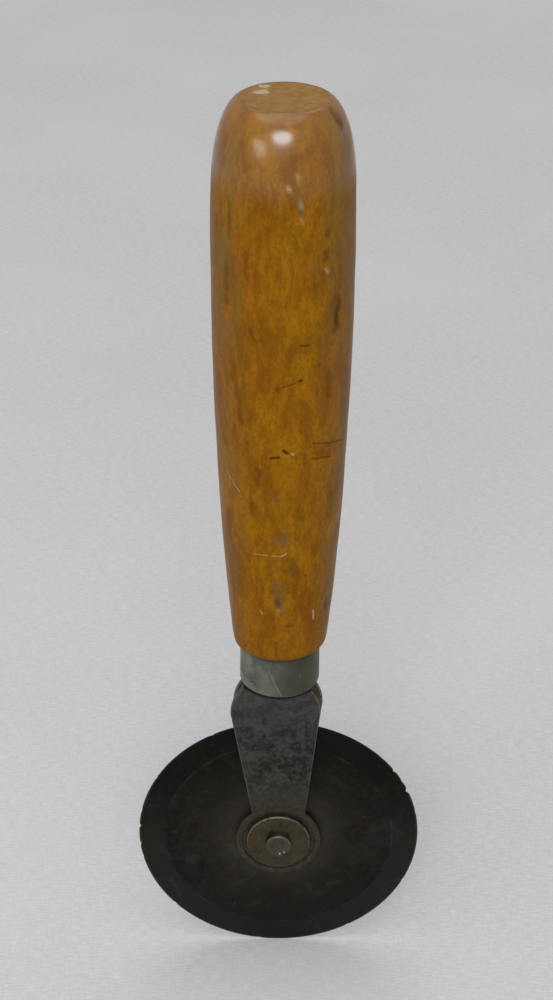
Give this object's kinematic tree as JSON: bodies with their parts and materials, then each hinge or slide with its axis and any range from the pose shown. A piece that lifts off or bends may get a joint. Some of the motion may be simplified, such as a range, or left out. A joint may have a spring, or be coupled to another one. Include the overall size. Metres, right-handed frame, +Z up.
{
  "type": "rotary cutter",
  "caption": "Hand wheel cutter: a thin bevelled steel disc spins freely between the tapering cheeks of a fork set in a ferruled, turned wooden handle.",
  "frame": {"origin": "centre of the object's footprint at its lowest level, directly below the axle: the lowest point of the blade when the tool stands upright on its blade", "axes": "+Z up the handle's axis from the blade to the butt, the blade lies in the XZ plane, and its axle runs along Y; -Y is the front, where the axle rivet's made head is"},
  "size_m": [0.07, 0.031, 0.2287],
  "materials": {
    "varnished_wood": "turned hardwood under worn golden-brown varnish, with dents, scratches and grime",
    "ferrule_steel": "dull grey steel, rubbed and scratched",
    "cheek_steel": "dark mottled grey steel with rubbed bright edges",
    "blade_steel": "nearly black aged steel with faint brown rust towards the axle",
    "axle_steel": "brown-stained steel with worn bright rims",
    "inner_steel": "plain steel, oiled and out of the light"
  },
  "bodies": {
    "holder": {"handle": "varnished_wood", "ferrule": "ferrule_steel", "ferrule_brad": "inner_steel", "tang": "inner_steel", "lower_tang_rivet": "inner_steel", "upper_tang_rivet": "inner_steel", "front_cheek": "cheek_steel", "rear_cheek": "cheek_steel", "axle_rivet": "axle_steel", "axle_sleeve": "inner_steel", "front_axle_washer": "axle_steel", "rear_axle_washer": "axle_steel", "front_thrust_washer": "inner_steel", "rear_thrust_washer": "inner_steel"},
    "blade": {"blade": "blade_steel"}
  },
  "joints": [
    {"name": "blade_spin", "type": "hinge", "parent": "holder", "child": "blade", "pos_m": [0, 0, 0.035], "axis": [0, 1, 0], "continuous": true}
  ]
}
